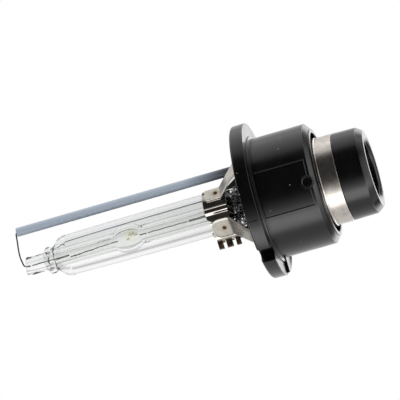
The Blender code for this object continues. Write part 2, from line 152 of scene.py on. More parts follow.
class Nodes:
    """Shorthand for building a node tree."""

    def __init__(self, tree):
        self.tree = tree

    def node(self, kind, inputs=None, **settings):
        """A new node. An input is given a value, or a socket to be linked to."""
        made = self.tree.nodes.new(kind)
        for name, value in settings.items():
            setattr(made, name, value)
        for name, value in (inputs or {}).items():
            if isinstance(value, bpy.types.NodeSocket):
                self.tree.links.new(value, made.inputs[name])
            else:
                made.inputs[name].default_value = value
        return made

    def ramp(self, value, stops):
        """A colour ramp through (position, colour or grey) stops."""
        made = self.node("ShaderNodeValToRGB", {"Fac": value})
        while len(made.color_ramp.elements) < len(stops):
            made.color_ramp.elements.new(0.5)
        for element, (position, colour) in zip(made.color_ramp.elements, stops):
            element.position = position
            element.color = (*colour, 1.0) if isinstance(colour, tuple) else (colour, colour, colour, 1.0)
        return made.outputs["Color"]

    def span(self, value, low, high, from_low=0.0, from_high=1.0):
        """A value taken from one range to another, and held at its ends."""
        values = {"Value": value, "From Min": from_low, "From Max": from_high, "To Min": low, "To Max": high}
        return self.node("ShaderNodeMapRange", values, clamp=True).outputs["Result"]

    def mix(self, factor, first, second, blend="MIX"):
        """Two colours mixed: inputs 0, 6 and 7 of the node are its factor and its colours."""
        colours = [(*value, 1.0) if isinstance(value, tuple) else value for value in (first, second)]
        inputs = {0: factor, 6: colours[0], 7: colours[1]}
        return self.node("ShaderNodeMix", inputs, data_type="RGBA", blend_type=blend).outputs[2]

    def maths(self, operation, first, second=0.0):
        return self.node("ShaderNodeMath", {0: first, 1: second}, operation=operation).outputs[0]


class Finish(Nodes):
    """A procedural material in the making. Every texture reads the object's own coordinates, in metres."""

    def __init__(self, name, colour, roughness, metallic=0.0):
        self.material = bpy.data.materials.new(name)
        self.material.use_nodes = True
        super().__init__(self.material.node_tree)
        self.shader = self.tree.nodes["Principled BSDF"]
        self.place = self.tree.nodes.new("ShaderNodeTexCoord").outputs["Object"]
        self.set(**{"Base Color": (*colour, 1.0), "Roughness": roughness, "Metallic": metallic})

    def set(self, **values):
        for name, value in values.items():
            self.shader.inputs[name].default_value = value

    def link(self, output, name):
        self.tree.links.new(output, self.shader.inputs[name])

    def stretched(self, scale):
        """The object's coordinates, scaled differently along X, Y and Z."""
        return self.node("ShaderNodeMapping", {"Vector": self.place, "Scale": scale}).outputs[0]

    def noise(self, size, detail=3.0, roughness=0.5, stretch=(1.0, 1.0, 1.0), distortion=0.0):
        """Noise whose features are about size millimetres across."""
        values = {"Vector": self.stretched(tuple(s / (size * MM) for s in stretch)), "Scale": 1.0}
        values |= {"Detail": detail, "Roughness": roughness, "Distortion": distortion}
        return self.node("ShaderNodeTexNoise", values).outputs["Fac"]

    def bump(self, height, depth, strength=1.0, under=None):
        """Bump of the given depth in millimetres, on top of an earlier bump."""
        values = {"Height": height, "Distance": depth * MM, "Strength": strength}
        if under is not None:
            values["Normal"] = under
        return self.node("ShaderNodeBump", values).outputs["Normal"]

    def distance_to(self, point):
        """Distance from a point given in millimetres, as a number of millimetres."""
        ends = {0: self.place, 1: tuple(v * MM for v in point)}
        made = self.node("ShaderNodeVectorMath", ends, operation="DISTANCE")
        return self.maths("MULTIPLY", made.outputs["Value"], 1.0 / MM)

    def along(self, start, end):
        """0 up to one place along the bulb and 1 from another, both in millimetres."""
        x = self.node("ShaderNodeSeparateXYZ", {"Vector": self.place}).outputs["X"]
        return self.span(x, 0.0, 1.0, start * MM, end * MM)


# ---------------------------------------------------------------- materials


DUST_PER_METRE = 420.0


def black_plastic(name, roughness, grain):
    """Glass-filled moulding compound: near black, satin, with a fine grain and a few pale dust specks."""
    finish = Finish(name, (0.003, 0.003, 0.0032), roughness)
    cloud = finish.noise(3.0, 4.0, 0.6)
    fine = finish.noise(0.16, 2.0, 0.6)
    finish.link(finish.span(cloud, roughness - 0.04, roughness + 0.05, 0.3, 0.7), "Roughness")
    speck = {"Vector": finish.place, "Scale": DUST_PER_METRE}
    distance = finish.node("ShaderNodeTexVoronoi", speck).outputs["Distance"]
    dust = finish.span(distance, 1.0, 0.0, 0.035, 0.06)
    cloud = finish.span(cloud, 0.0, 1.0, 0.35, 0.75)
    tone = finish.mix(cloud, (0.002, 0.002, 0.0022), (0.004, 0.004, 0.0042))
    finish.link(finish.mix(dust, tone, (0.22, 0.22, 0.21)), "Base Color")
    swell = finish.bump(finish.noise(2.2, 2.0), 0.006)
    finish.link(finish.bump(fine, grain, under=swell), "Normal")
    finish.set(**{"Specular IOR Level": 0.5})
    return finish.material


def turned_metal(name):
    """Nickel-coloured steel with fine turning lines round the axis and faint brown blotches."""
    finish = Finish(name, (0.60, 0.56, 0.52), 0.26, 1.0)
    lines = finish.noise(0.09, 2.0, 0.7, (1.0, 0.02, 0.02))
    blotch = finish.noise(1.6, 5.0, 0.65, distortion=0.6)
    stops = [(0.30, (0.46, 0.41, 0.37)), (0.55, (0.60, 0.56, 0.52)), (0.80, (0.70, 0.67, 0.63))]
    tone = finish.ramp(blotch, stops)
    stain = finish.span(finish.noise(0.35, 2.0, 0.5), 0.0, 0.55, 0.66, 0.72)
    finish.link(finish.mix(stain, tone, (0.27, 0.20, 0.15)), "Base Color")
    finish.link(finish.span(lines, 0.20, 0.36, 0.25, 0.75), "Roughness")
    finish.link(finish.bump(lines, 0.003), "Normal")
    return finish.material


def polished_metal(name):
    """Bright-rolled stainless band, slightly browned by heat."""
    finish = Finish(name, (0.42, 0.39, 0.35), 0.12, 1.0)
    heat = finish.noise(2.4, 4.0, 0.55, (0.6, 1.0, 1.0))
    stops = [(0.30, (0.30, 0.24, 0.19)), (0.50, (0.45, 0.42, 0.38)), (0.75, (0.60, 0.58, 0.55))]
    finish.link(finish.ramp(heat, stops), "Base Color")
    scratch = finish.noise(0.10, 2.0, 0.6, (0.03, 1.0, 1.0))
    finish.link(finish.span(scratch, 0.08, 0.20, 0.3, 0.7), "Roughness")
    finish.link(finish.bump(scratch, 0.002), "Normal")
    return finish.material


def ear_metal_with_painted_shade(name):
    """The ears of the band: the same sheet, with the teeth far from the axis painted a near-black brown as
    painted shade.
    """
    finish = Finish(name, (0.10, 0.07, 0.05), 0.24, 1.0)
    heat = finish.noise(0.9, 4.0, 0.6)
    bright = finish.ramp(heat, [(0.30, (0.38, 0.34, 0.29)), (0.75, (0.62, 0.59, 0.54))])
    # The dark ramp, near-black brown, is painted shade for the folded teeth.
    stops = [(0.30, (0.02, 0.012, 0.008)), (0.52, (0.05, 0.034, 0.024)), (0.75, (0.16, 0.13, 0.10))]
    dark = finish.ramp(heat, stops)
    section = {"Vector": finish.stretched((0.0, 1.0, 1.0))}
    radius = finish.node("ShaderNodeVectorMath", section, operation="LENGTH").outputs["Value"]
    # From 6.1 to 6.35 mm out from the axis, on the teeth, the tone turns to the dark ramp: painted shade.
    out = finish.span(radius, 0.0, 1.0, 6.1 * MM, 6.35 * MM)
    finish.link(finish.mix(out, bright, dark), "Base Color")
    finish.link(finish.span(finish.noise(0.3), 0.18, 0.34, 0.3, 0.7), "Roughness")
    finish.link(finish.bump(heat, 0.004), "Normal")
    return finish.material


def strap_metal(name, weld=None, painted_shade=1.0):
    """Dull nickel plate, beige, with rolling marks. A weld burns a brown spot into it. Its tone is multiplied
    by a painted shade, darker on the lower legs.
    """
    finish = Finish(name, (0.56, 0.53, 0.47), 0.30, 1.0)
    cloud = finish.noise(1.3, 4.0, 0.6)
    rolled = finish.noise(0.07, 2.0, 0.6, (0.06, 1.0, 1.0))
    stops = [(0.28, (0.52, 0.49, 0.43)), (0.52, (0.62, 0.59, 0.53)), (0.78, (0.70, 0.68, 0.63))]
    tone = finish.ramp(cloud, stops)
    finish.link(finish.span(rolled, 0.24, 0.38, 0.3, 0.7), "Roughness")
    # Painted shade: the tone is darkened by this factor.
    tone = finish.mix(1.0, tone, (painted_shade,) * 3, "MULTIPLY")
    if weld is not None:
        ring = finish.maths("ADD", finish.distance_to(weld), finish.span(finish.noise(0.4), -0.12, 0.12))
        tone = finish.mix(finish.span(ring, 0.7, 0.0, 0.50, 1.05), tone, (0.33, 0.25, 0.15))
        tone = finish.mix(finish.span(ring, 1.0, 0.0, 0.36, 0.52), tone, (0.045, 0.028, 0.015))
    finish.link(tone, "Base Color")
    finish.link(finish.bump(rolled, 0.003, under=finish.bump(cloud, 0.006)), "Normal")
    return finish.material


def wire_metal(name, colour, roughness):
    """Drawn wire or foil: grey metal with lines along X."""
    finish = Finish(name, colour, roughness, 1.0)
    drawn = finish.noise(0.05, 2.0, 0.6, (0.05, 1.0, 1.0))
    dark = tuple(v * 0.6 for v in colour)
    finish.link(finish.mix(finish.span(finish.noise(0.8), 0.0, 1.0, 0.35, 0.7), colour, dark), "Base Color")
    finish.link(finish.span(drawn, roughness - 0.08, roughness + 0.12, 0.3, 0.7), "Roughness")
    finish.link(finish.bump(drawn, 0.003), "Normal")
    return finish.material


def clear_quartz(name, tint, drawn_depth):
    """Fused quartz with faint draw lines along X, and the normal that they give it."""
    finish = Finish(name, tint, 0.0)
    finish.set(**{"Transmission Weight": 1.0, "IOR": 1.458})
    drawn = finish.noise(0.9, 2.0, 0.5, (0.04, 1.0, 1.0))
    normal = finish.bump(drawn, drawn_depth)
    finish.link(normal, "Normal")
    return finish, normal


def outer_quartz(name):
    """The outer tube's quartz, greyer towards the base. At its neck it has a dark grey tint as painted shade,
    small pale metallic spots as painted glints, and pressed facets.
    """
    clear = (0.94, 0.945, 0.94)
    finish, normal = clear_quartz(name, clear, 0.008)
    tint = finish.mix(finish.along(-26.0, -10.0), clear, (0.87, 0.875, 0.87))
    # The neck region. Here the glass is tinted dark grey as painted shade, and the facets are bumped.
    neck_region = finish.along(-5.2, -4.4)
    tint = finish.mix(neck_region, tint, (0.22, 0.22, 0.22))
    # Painted glints: small spots in the neck turn into pale mirror metal.
    painted_glint = finish.span(finish.noise(0.8, 1.0, 0.4, (1.0, 0.7, 0.7)), 0.0, 1.0, 0.60, 0.62)
    painted_glint = finish.maths("MULTIPLY", painted_glint, neck_region)
    finish.link(finish.mix(painted_glint, tint, (0.9, 0.9, 0.9)), "Base Color")
    finish.link(painted_glint, "Metallic")
    facets = finish.noise(1.7, 1.0, 0.4)
    finish.link(finish.bump(facets, 0.5, neck_region, normal), "Normal")
    return finish.material


def burner_quartz(name):
    """The burner's quartz, tinted yellow where the salts have frozen on the chamber's wall."""
    clear = (0.97, 0.975, 0.97)
    finish = clear_quartz(name, clear, 0.012)[0]
    reach = finish.distance_to((ARC_CENTRE + 0.8, -1.6, 0.6))
    patch = finish.maths("ADD", reach, finish.span(finish.noise(1.2, 4.0, 0.6), -0.8, 0.8))
    finish.link(finish.mix(finish.span(patch, 1.0, 0.0, 0.8, 2.2), clear, (0.94, 0.93, 0.80)), "Base Color")
    return finish.material


def slate_ceramic(name):
    """Grey-blue sintered tube, pale along most of its length and much darker towards the base."""
    finish = Finish(name, (0.33, 0.38, 0.45), 0.42)
    grain = finish.noise(0.25, 4.0, 0.65)
    mottle = finish.span(grain, 0.0, 1.0, 0.3, 0.7)
    pale = finish.mix(mottle, (0.34, 0.40, 0.475), (0.40, 0.46, 0.54))
    dark = finish.mix(mottle, (0.030, 0.038, 0.052), (0.050, 0.060, 0.078))
    finish.link(finish.mix(finish.along(-13.0, -3.0), pale, dark), "Base Color")
    finish.link(finish.span(finish.noise(0.7), 0.36, 0.52, 0.3, 0.7), "Roughness")
    finish.link(finish.bump(grain, 0.004), "Normal")
    return finish.material


def dry_cement(name):
    """Grainy, sand-coloured cement."""
    finish = Finish(name, (0.66, 0.64, 0.58), 0.9)
    grain = finish.noise(0.3, 6.0, 0.7)
    finish.link(finish.ramp(grain, [(0.3, (0.50, 0.48, 0.43)), (0.7, (0.74, 0.72, 0.67))]), "Base Color")
    finish.link(finish.bump(grain, 0.08), "Normal")
    return finish.material


def salt_glaze(name):
    """Metal salts frozen on the chamber wall: a pale yellow, mostly clear crust."""
    finish = Finish(name, (0.93, 0.90, 0.62), 0.25)
    grain = finish.noise(0.2, 4.0, 0.6)
    finish.link(finish.ramp(grain, [(0.3, (0.95, 0.94, 0.76)), (0.7, (0.99, 0.98, 0.90))]), "Base Color")
    finish.link(finish.bump(grain, 0.01), "Normal")
    finish.set(**{"Transmission Weight": 0.85, "IOR": 1.46})
    return finish.material


BASE_PLASTIC = black_plastic("base_plastic", 0.22, 0.004)
COLLAR_PLASTIC = black_plastic("collar_plastic", 0.20, 0.003)
CONTACT_METAL = turned_metal("contact_metal")
BAND_METAL = polished_metal("band_metal")
EAR_METAL = ear_metal_with_painted_shade("ear_metal")
MOLYBDENUM = wire_metal("molybdenum", (0.26, 0.26, 0.27), 0.34)
FOIL_METAL = wire_metal("foil_metal", (0.055, 0.055, 0.06), 0.45)
TUNGSTEN = wire_metal("tungsten", (0.16, 0.16, 0.17), 0.40)
OUTER_QUARTZ = outer_quartz("outer_quartz")
BURNER_QUARTZ = burner_quartz("burner_quartz")
CERAMIC = slate_ceramic("slate_ceramic")
CEMENT = dry_cement("dry_cement")
SALT = salt_glaze("salt_glaze")

# ---------------------------------------------------------------- mesh tools


def fold(start, corner, end, segments):
    """Points on the curve that leaves one line and meets another, which cross in the corner."""
    steps = [k / segments for k in range(segments + 1)]
    return [start.lerp(corner, part).lerp(corner.lerp(end, part), part) for part in steps]


def rounded(corners, segments=5):
    """A closed outline of (x, radius, fillet) corners, with each fillet drawn as a curve."""
    points = []
    count = len(corners)
    for i, (x, radius, fillet) in enumerate(corners):
        corner = Vector((x, radius))
        if not fillet:
            points.append(corner)
            continue
        before = Vector(corners[i - 1][:2]) - corner
        after = Vector(corners[(i + 1) % count][:2]) - corner
        reach = min(fillet, before.length * 0.49, after.length * 0.49)
        start = corner + before.normalized() * reach
        end = corner + after.normalized() * reach
        points += fold(start, corner, end, segments)
    return points


def add_ring(shape, points):
    """New vertices at points given in millimetres."""
    return [shape.verts.new(Vector(point) * MM) for point in points]


def bridge(shape, rings, closed=False):
    """Joins each ring of vertices to the next with quads, and the last to the first if closed."""
    following = rings[1:] + (rings[:1] if closed else [])
    for first, second in zip(rings, following):
        for k in range(len(first)):
            j = (k + 1) % len(first)
            shape.faces.new((first[k], first[j], second[j], second[k]))


def to_mesh(name, shape):
    """The finished mesh, with its faces turned outwards."""
    bmesh.ops.recalc_face_normals(shape, faces=shape.faces)
    mesh = bpy.data.meshes.new(name)
    shape.to_mesh(mesh)
    shape.free()
    return mesh


def piece(name, mesh, material, stands_for=(), sharp_angle=32.0):
    """Links a finished mesh as a piece of the bulb."""
    obj = bpy.data.objects.new(name, mesh)
    bpy.context.scene.collection.objects.link(obj)
    mesh.materials.clear()
    mesh.materials.append(material)
    if stands_for:
        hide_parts(*stands_for)
    mesh.shade_smooth()
    mesh.set_sharp_from_angle(angle=math.radians(sharp_angle))
    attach(obj, "root")
    return obj


def lathe_mesh(name, outline, steps=FINE_STEPS, height=0.0, closed=True):
    """A mesh turned about the bulb's axis, or about a parallel to it at a height."""
    shape = bmesh.new()
    verts = [shape.verts.new((x * MM, -radius * MM, 0.0)) for x, radius in outline]
    edges = [shape.edges.new(pair) for pair in zip(verts, verts[1:])]
    if closed:
        edges.append(shape.edges.new((verts[-1], verts[0])))
    bmesh.ops.spin(
        shape, geom=[*verts, *edges], axis=(1.0, 0.0, 0.0), cent=(0.0, 0.0, 0.0), steps=steps,
        angle=math.radians(360.0), use_merge=True, use_duplicate=False,
    )
    bmesh.ops.remove_doubles(shape, verts=shape.verts, dist=1e-7)
    bmesh.ops.translate(shape, verts=shape.verts, vec=(0.0, 0.0, height * MM))
    return to_mesh(name, shape)


def swept_mesh(name, outline, angles):
    """A closed mesh of an outline of (x, radius) points at each of the given angles round the axis."""
    shape = bmesh.new()
    rings = []
    for angle in angles:
        turn = math.radians(angle)
        across = Vector((0.0, -math.cos(turn), math.sin(turn)))
        rings.append(add_ring(shape, [Vector((x, 0.0, 0.0)) + across * radius for x, radius in outline]))
    bridge(shape, rings, closed=True)
    return to_mesh(name, shape)


def around(angle):
    """The rotation that takes the -Y direction to the given angle round the axis."""
    return Matrix.Rotation(math.radians(-angle), 4, "X")


def cutter(name, mesh, matrix=None):
    """A helper for a Boolean, deleted once it is used."""
    obj = bpy.data.objects.new(name, mesh)
    bpy.context.scene.collection.objects.link(obj)
    if matrix is not None:
        obj.matrix_world = matrix
    return obj


def box_cutter(name, angle, x_span, out_span, side_span):
    """A box set round the axis: out_span is measured from the axis, side_span across it."""
    shape = bmesh.new()
    low = Vector((x_span[0], -out_span[1], side_span[0])) * MM
    high = Vector((x_span[1], -out_span[0], side_span[1])) * MM
    size = Matrix.Diagonal((*(high - low), 1.0))
    bmesh.ops.create_cube(shape, size=1.0, matrix=Matrix.Translation((low + high) / 2.0) @ size)
    return cutter(name, to_mesh(name, shape), around(angle))


def sector_cutter(name, x_span, radius_span, angle_span, count=24):
    """A piece of a ring round the axis."""
    outline = []
    for radius, order in ((radius_span[1], range(count)), (radius_span[0], reversed(range(count)))):
        for i in order:
            angle = math.radians(angle_span[0] + (angle_span[1] - angle_span[0]) * i / (count - 1))
            outline.append((-radius * math.cos(angle) * MM, radius * math.sin(angle) * MM))
    shape = bmesh.new()
    face = shape.faces.new([shape.verts.new((x_span[0] * MM, y, z)) for y, z in outline])
    pulled = bmesh.ops.extrude_face_region(shape, geom=[face])
    moved = [item for item in pulled["geom"] if isinstance(item, bmesh.types.BMVert)]
    bmesh.ops.translate(shape, verts=moved, vec=((x_span[1] - x_span[0]) * MM, 0.0, 0.0))
    return cutter(name, to_mesh(name, shape))


def ease_edges(obj, width, angle, clamp=False):
    """Gives the edges sharper than an angle in degrees a small round, narrower in tight places if clamped."""
    ease = obj.modifiers.new("Ease", "BEVEL")
    ease.width = width * MM
    ease.segments = 2
    ease.limit_method = "ANGLE"
    ease.angle_limit = math.radians(angle)
    ease.use_clamp_overlap = clamp


def applied(obj, helpers=()):
    """The mesh of an object with its modifiers applied. The object and its helpers are deleted."""
    bpy.context.view_layer.update()
    graph = bpy.context.evaluated_depsgraph_get()
    mesh = bpy.data.meshes.new_from_object(obj.evaluated_get(graph))
    for used in (obj, *helpers):
        bpy.data.objects.remove(used)
    return mesh


def carve(mesh, joins, cuts, edge):
    """The mesh after its joins and cuts, with its sharp edges eased by the given width."""
    obj = cutter(mesh.name, mesh)
    for others, operation in ((joins, "UNION"), (cuts, "DIFFERENCE")):
        for other in others:
            step = obj.modifiers.new(other.name, "BOOLEAN")
            step.operation = operation
            step.object = other
            step.solver = "EXACT"
    ease_edges(obj, edge, 40.0, clamp=True)
    return applied(obj, [*joins, *cuts])


# How far a wire's domed end stands out, by its radius
DOME_HEIGHT = 0.6


def wire_mesh(name, points, radius, sides=16):
    """A round wire through points, with domed ends."""
    shape = bmesh.new()
    places = [Vector(p) for p in points]
    turns = [2.0 * math.pi * k / sides for k in range(sides)]
    rings = []
    for i, place in enumerate(places):
        ahead = places[min(i + 1, len(places) - 1)] - places[max(i - 1, 0)]
        across = ahead.cross(Vector((0.0, 1.0, 0.0))).normalized()
        up = across.cross(ahead).normalized()
        circle = [place + (across * math.cos(turn) + up * math.sin(turn)) * radius for turn in turns]
        rings.append(add_ring(shape, circle))
    bridge(shape, rings)
    for ring, place, neighbour in ((rings[0], places[0], places[1]), (rings[-1], places[-1], places[-2])):
        tip, = add_ring(shape, [place + (place - neighbour).normalized() * radius * DOME_HEIGHT])
        for k in range(sides):
            shape.faces.new((ring[k], ring[(k + 1) % sides], tip))
    return to_mesh(name, shape)


def smooth_path(points, count=8):
    """Points on a Catmull-Rom curve through the given ones."""
    places = [Vector(p) for p in points]
    ends = [places[0] * 2.0 - places[1], *places, places[-1] * 2.0 - places[-2]]
    path = []
    for i in range(1, len(ends) - 2):
        a, b, c, d = ends[i - 1:i + 3]
        for k in range(count):
            t = k / count
            square = (2.0 * a - 5.0 * b + 4.0 * c - d) * t * t
            cube = (3.0 * b - a - 3.0 * c + d) * t ** 3
            path.append(0.5 * (2.0 * b + (c - a) * t + square + cube))
    path.append(places[-1])
    return path


# ---------------------------------------------------------------- base


def sink_panel(mesh):
    """Sinks the side panel into the body and raises its rib. The mesh has rows and columns along both."""
    near = 1e-3
    for vertex in mesh.vertices:
        x, y, z = (v / MM for v in vertex.co)
        angle = math.degrees(math.atan2(z, -y))
        if abs(math.hypot(y, z) - BODY_RADIUS) > near:
            continue
        if not PANEL_ANGLES[0] - near < angle < PANEL_ANGLES[1] + near:
            continue
        if PANEL_SPAN[0] - near < x < PANEL_SPAN[1] + near:
            scale = PANEL_RADIUS / BODY_RADIUS
        elif abs(x - RIB[0]) < near and PANEL_ANGLES[0] < angle < PANEL_ANGLES[1]:
            scale = (BODY_RADIUS + RIB_HEIGHT) / BODY_RADIUS
        else:
            continue
        vertex.co = Vector((x, y * scale, z * scale)) * MM


def make_round_stop():
    """The round stop on the near side of the body: a knurled rim round a shallow dish."""
    count = 120
    teeth = 24
    # The share of the stop's radius, the distance from the bulb's axis and the depth of the knurling
    profile = [(1.0, 12.0, 0.09), (1.0, STOP_HEIGHT - 0.25, 0.09), (0.83, STOP_HEIGHT, 0.09)]
    profile += [(0.72, STOP_HEIGHT, 0.0), (0.62, STOP_HEIGHT - 0.15, 0.0)]
    shape = bmesh.new()
    rings = []
    for share, out, knurl in profile:
        ring = []
        for k in range(count):
            turn = 2.0 * math.pi * k / count
            size = STOP_RADIUS * share + knurl * math.cos(turn * teeth) - 0.05
            ring.append((STOP_CENTRE + size * math.cos(turn), -out, size * math.sin(turn)))
        rings.append(add_ring(shape, ring))
    bridge(shape, rings)
    shape.faces.new(rings[0])
    shape.faces.new(rings[-1])
    piece("round_stop", to_mesh("round_stop", shape), BASE_PLASTIC)


def make_base():
    """The base moulding, with eased edges, its notch, recess, panel, slot and leg pockets."""
    wall = [(x, BODY_RADIUS, 0.0) for x in (14.4, RIB[1], RIB[0], *reversed(PANEL_EDGES), 3.4)]
    step_end = FLANGE_THICKNESS + STEP_HEIGHT
    cavity_end = RING_START - SEAM
    ring_hole = RING_RADIUS + SEAM
    outline = rounded([
        (BODY_END, GROOVE_RADIUS, 0.15),
        (BODY_END, LIP_RADIUS, 0.20),
        (LIP_START + 0.06, LIP_RADIUS, 0.04),
        (LIP_START - 0.06, 11.78, 0.12),
        (SHOULDER_START, BODY_RADIUS, 0.34),
        *wall,
        (step_end, BODY_RADIUS, 0.06),
        (step_end, STEP_RADIUS, 0.10),
        (FLANGE_THICKNESS, STEP_RADIUS + 0.05, 0.06),
        (FLANGE_THICKNESS, FLANGE_RADIUS, 0.25),
        (FLANGE_FRONT, FLANGE_RADIUS, 0.62),
        (FLANGE_FRONT, DISH_RADIUS, 0.15),
        (DISH_DEPTH, DISH_RADIUS - 0.1, 0.25),
        (DISH_DEPTH, NECK_BORE_RADIUS, 0.2),
        (FLOOR_END, NECK_BORE_RADIUS, 0.1),
        (FLOOR_END, CAVITY_RADIUS, 0.1),
        (cavity_end, CAVITY_RADIUS, 0.0),
        (cavity_end, ring_hole, 0.0),
        (GROOVE_FLOOR, ring_hole, 0.0),
        (GROOVE_FLOOR, GROOVE_RADIUS, 0.15),
    ])
    edges = [PANEL_ANGLES[0] - 0.5, PANEL_ANGLES[0], PANEL_ANGLES[1], PANEL_ANGLES[1] + 0.5]
    even = [360.0 * k / FINE_STEPS - 180.0 for k in range(FINE_STEPS)]
    columns = edges + [angle for angle in even if min(abs(angle - edge) for edge in edges) >= 1.0]
    mesh = swept_mesh("base_housing_fine", outline, sorted(columns))
    sink_panel(mesh)
    pad_depth = (FLANGE_THICKNESS - 0.5, FLANGE_THICKNESS + KEY_PAD_HEIGHT)
    joins = [sector_cutter("key_pad", pad_depth, KEY_PAD_RADII, KEY_PAD_ANGLES)]
    hole_end, hole_radius = 5.0, 1.25
    hole = [(0.0, 0.0), (0.0, hole_radius), (hole_end, hole_radius), (hole_end, 0.0)]
    slot_depth = (FLANGE_THICKNESS - 0.8, FLANGE_THICKNESS + 0.8)
    slot_side = (-KEY_SLOT_WIDTH / 2.0, KEY_SLOT_WIDTH / 2.0)
    cuts = [
        sector_cutter("rim_notch", (-1.0, FLANGE_THICKNESS + 1.0), (NOTCH_RADIUS, BEYOND), NOTCH_ANGLES),
        sector_cutter("rim_recess", (-1.0, FLANGE_THICKNESS - 0.7), (RECESS_RADIUS, BEYOND), RECESS_ANGLES),
        box_cutter("key_slot", KEY_SLOT_ANGLE, slot_depth, (KEY_FLOOR_RADIUS, BEYOND), slot_side),
        cutter("tube_hole", lathe_mesh("tube_hole", hole, SMALL_STEPS, TUBE_OFFSET, False)),
    ]
    clear = LEG_THICKNESS / 2.0 + 0.2
    for angle in LEG_ANGLES:
        out_span = (LEG_ROOT_OFFSET - clear, LEG_ROOT_OFFSET + clear)
        cuts.append(box_cutter("leg_pocket", angle, (0.5, 3.2), out_span, (-2.3, 2.3)))
    mesh = carve(mesh, joins, cuts, 0.07)
    piece("base_housing_fine", mesh, BASE_PLASTIC, ["base_housing"])
    make_round_stop()


def make_contact_ring():
    """The bare metal ring, with a low bead just inside the moulding's rim."""
    inner = RING_RADIUS - RING_WALL
    bead = RING_RADIUS + 0.14
    outline = rounded([
        (RING_END, inner, 0.06),
        (RING_END, RING_RADIUS, 0.12),
        (16.15, RING_RADIUS, 0.05),
        (15.95, bead, 0.05),
        (15.3, bead, 0.05),
        (15.1, RING_RADIUS, 0.05),
        (RING_START, RING_RADIUS, 0.05),
        (RING_START, inner, 0.05),
    ])
    mesh = lathe_mesh("contact_ring_fine", outline)
    piece("contact_ring_fine", mesh, CONTACT_METAL, ["contact_ring"])


def make_collar():
    """The black sleeve: its chamfered mouth, the round socket, and the floor that the pin comes through."""
    sleeve = RING_RADIUS - RING_WALL - SEAM
    pin_hole = PIN_RADIUS + 0.3
    outline = rounded([
        (COLLAR_END - 0.55, SOCKET_RADIUS, 0.15),
        (COLLAR_END - 0.20, SOCKET_RADIUS + 0.4, 0.10),
        (COLLAR_END, COLLAR_END_RADIUS - 1.0, 0.08),
        (COLLAR_END, COLLAR_END_RADIUS, 0.10),
        (COLLAR_END - 1.35, COLLAR_RADIUS - 0.15, 0.12),
        (COLLAR_END - 1.6, COLLAR_RADIUS - 0.10, 0.10),
        (COLLAR_START, COLLAR_RADIUS, 0.08),
        (COLLAR_START, sleeve, 0.0),
        (COLLAR_FRONT, sleeve, 0.0),
        (COLLAR_FRONT, COLLAR_BORE_RADIUS, 0.1),
        (SOCKET_BACK, COLLAR_BORE_RADIUS, 0.1),
        (SOCKET_BACK, pin_hole, 0.1),
        (SOCKET_FLOOR, pin_hole, 0.1),
        (SOCKET_FLOOR, SOCKET_RADIUS, 0.3),
    ])
    mesh = lathe_mesh("socket_collar_fine", outline)
    piece("socket_collar_fine", mesh, COLLAR_PLASTIC, ["socket_collar"])


def make_pin():
    """The contact pin: a domed tip in the socket and a flat head behind the socket's floor."""
    edge = PIN_HEAD_RADIUS - 0.1
    outline = [
        (PIN_TIP, 0.0), (PIN_TIP - 0.03, 0.35), (PIN_TIP - 0.15, 0.7), (PIN_TIP - 0.38, 0.98),
        (PIN_TIP - 0.75, 1.14), (PIN_TIP - 1.2, PIN_RADIUS), (PIN_HEAD_END + 0.05, PIN_RADIUS),
        (PIN_HEAD_END, PIN_RADIUS + 0.1), (PIN_HEAD_END, edge), (PIN_HEAD_END - 0.1, PIN_HEAD_RADIUS),
        (PIN_START + 0.1, PIN_HEAD_RADIUS), (PIN_START, edge), (PIN_START, 0.0),
    ]
    mesh = lathe_mesh("centre_contact_fine", outline, SMALL_STEPS, closed=False)
    piece("centre_contact_fine", mesh, CONTACT_METAL, ["centre_contact"])


# ---------------------------------------------------------------- glass


def oval(centre, length, radius, start, end, count=28):
    """Points on an oval about (centre, 0), from start to end degrees. 0 is its rear end and 180 its front."""
    points = []
    for i in range(count):
        angle = math.radians(start + (end - start) * i / (count - 1))
        points.append((centre + length / 2.0 * math.cos(angle), radius * math.sin(angle)))
    return points


def unit(value):
    """The value, held between 0 and 1."""
    return max(0.0, min(1.0, value))


def waver(place, along, across):
    """Smooth noise at a place in millimetres, stretched along the bulb and across it."""
    return noise.noise(Vector((place[0] * along, place[1] * across, place[2] * across)))


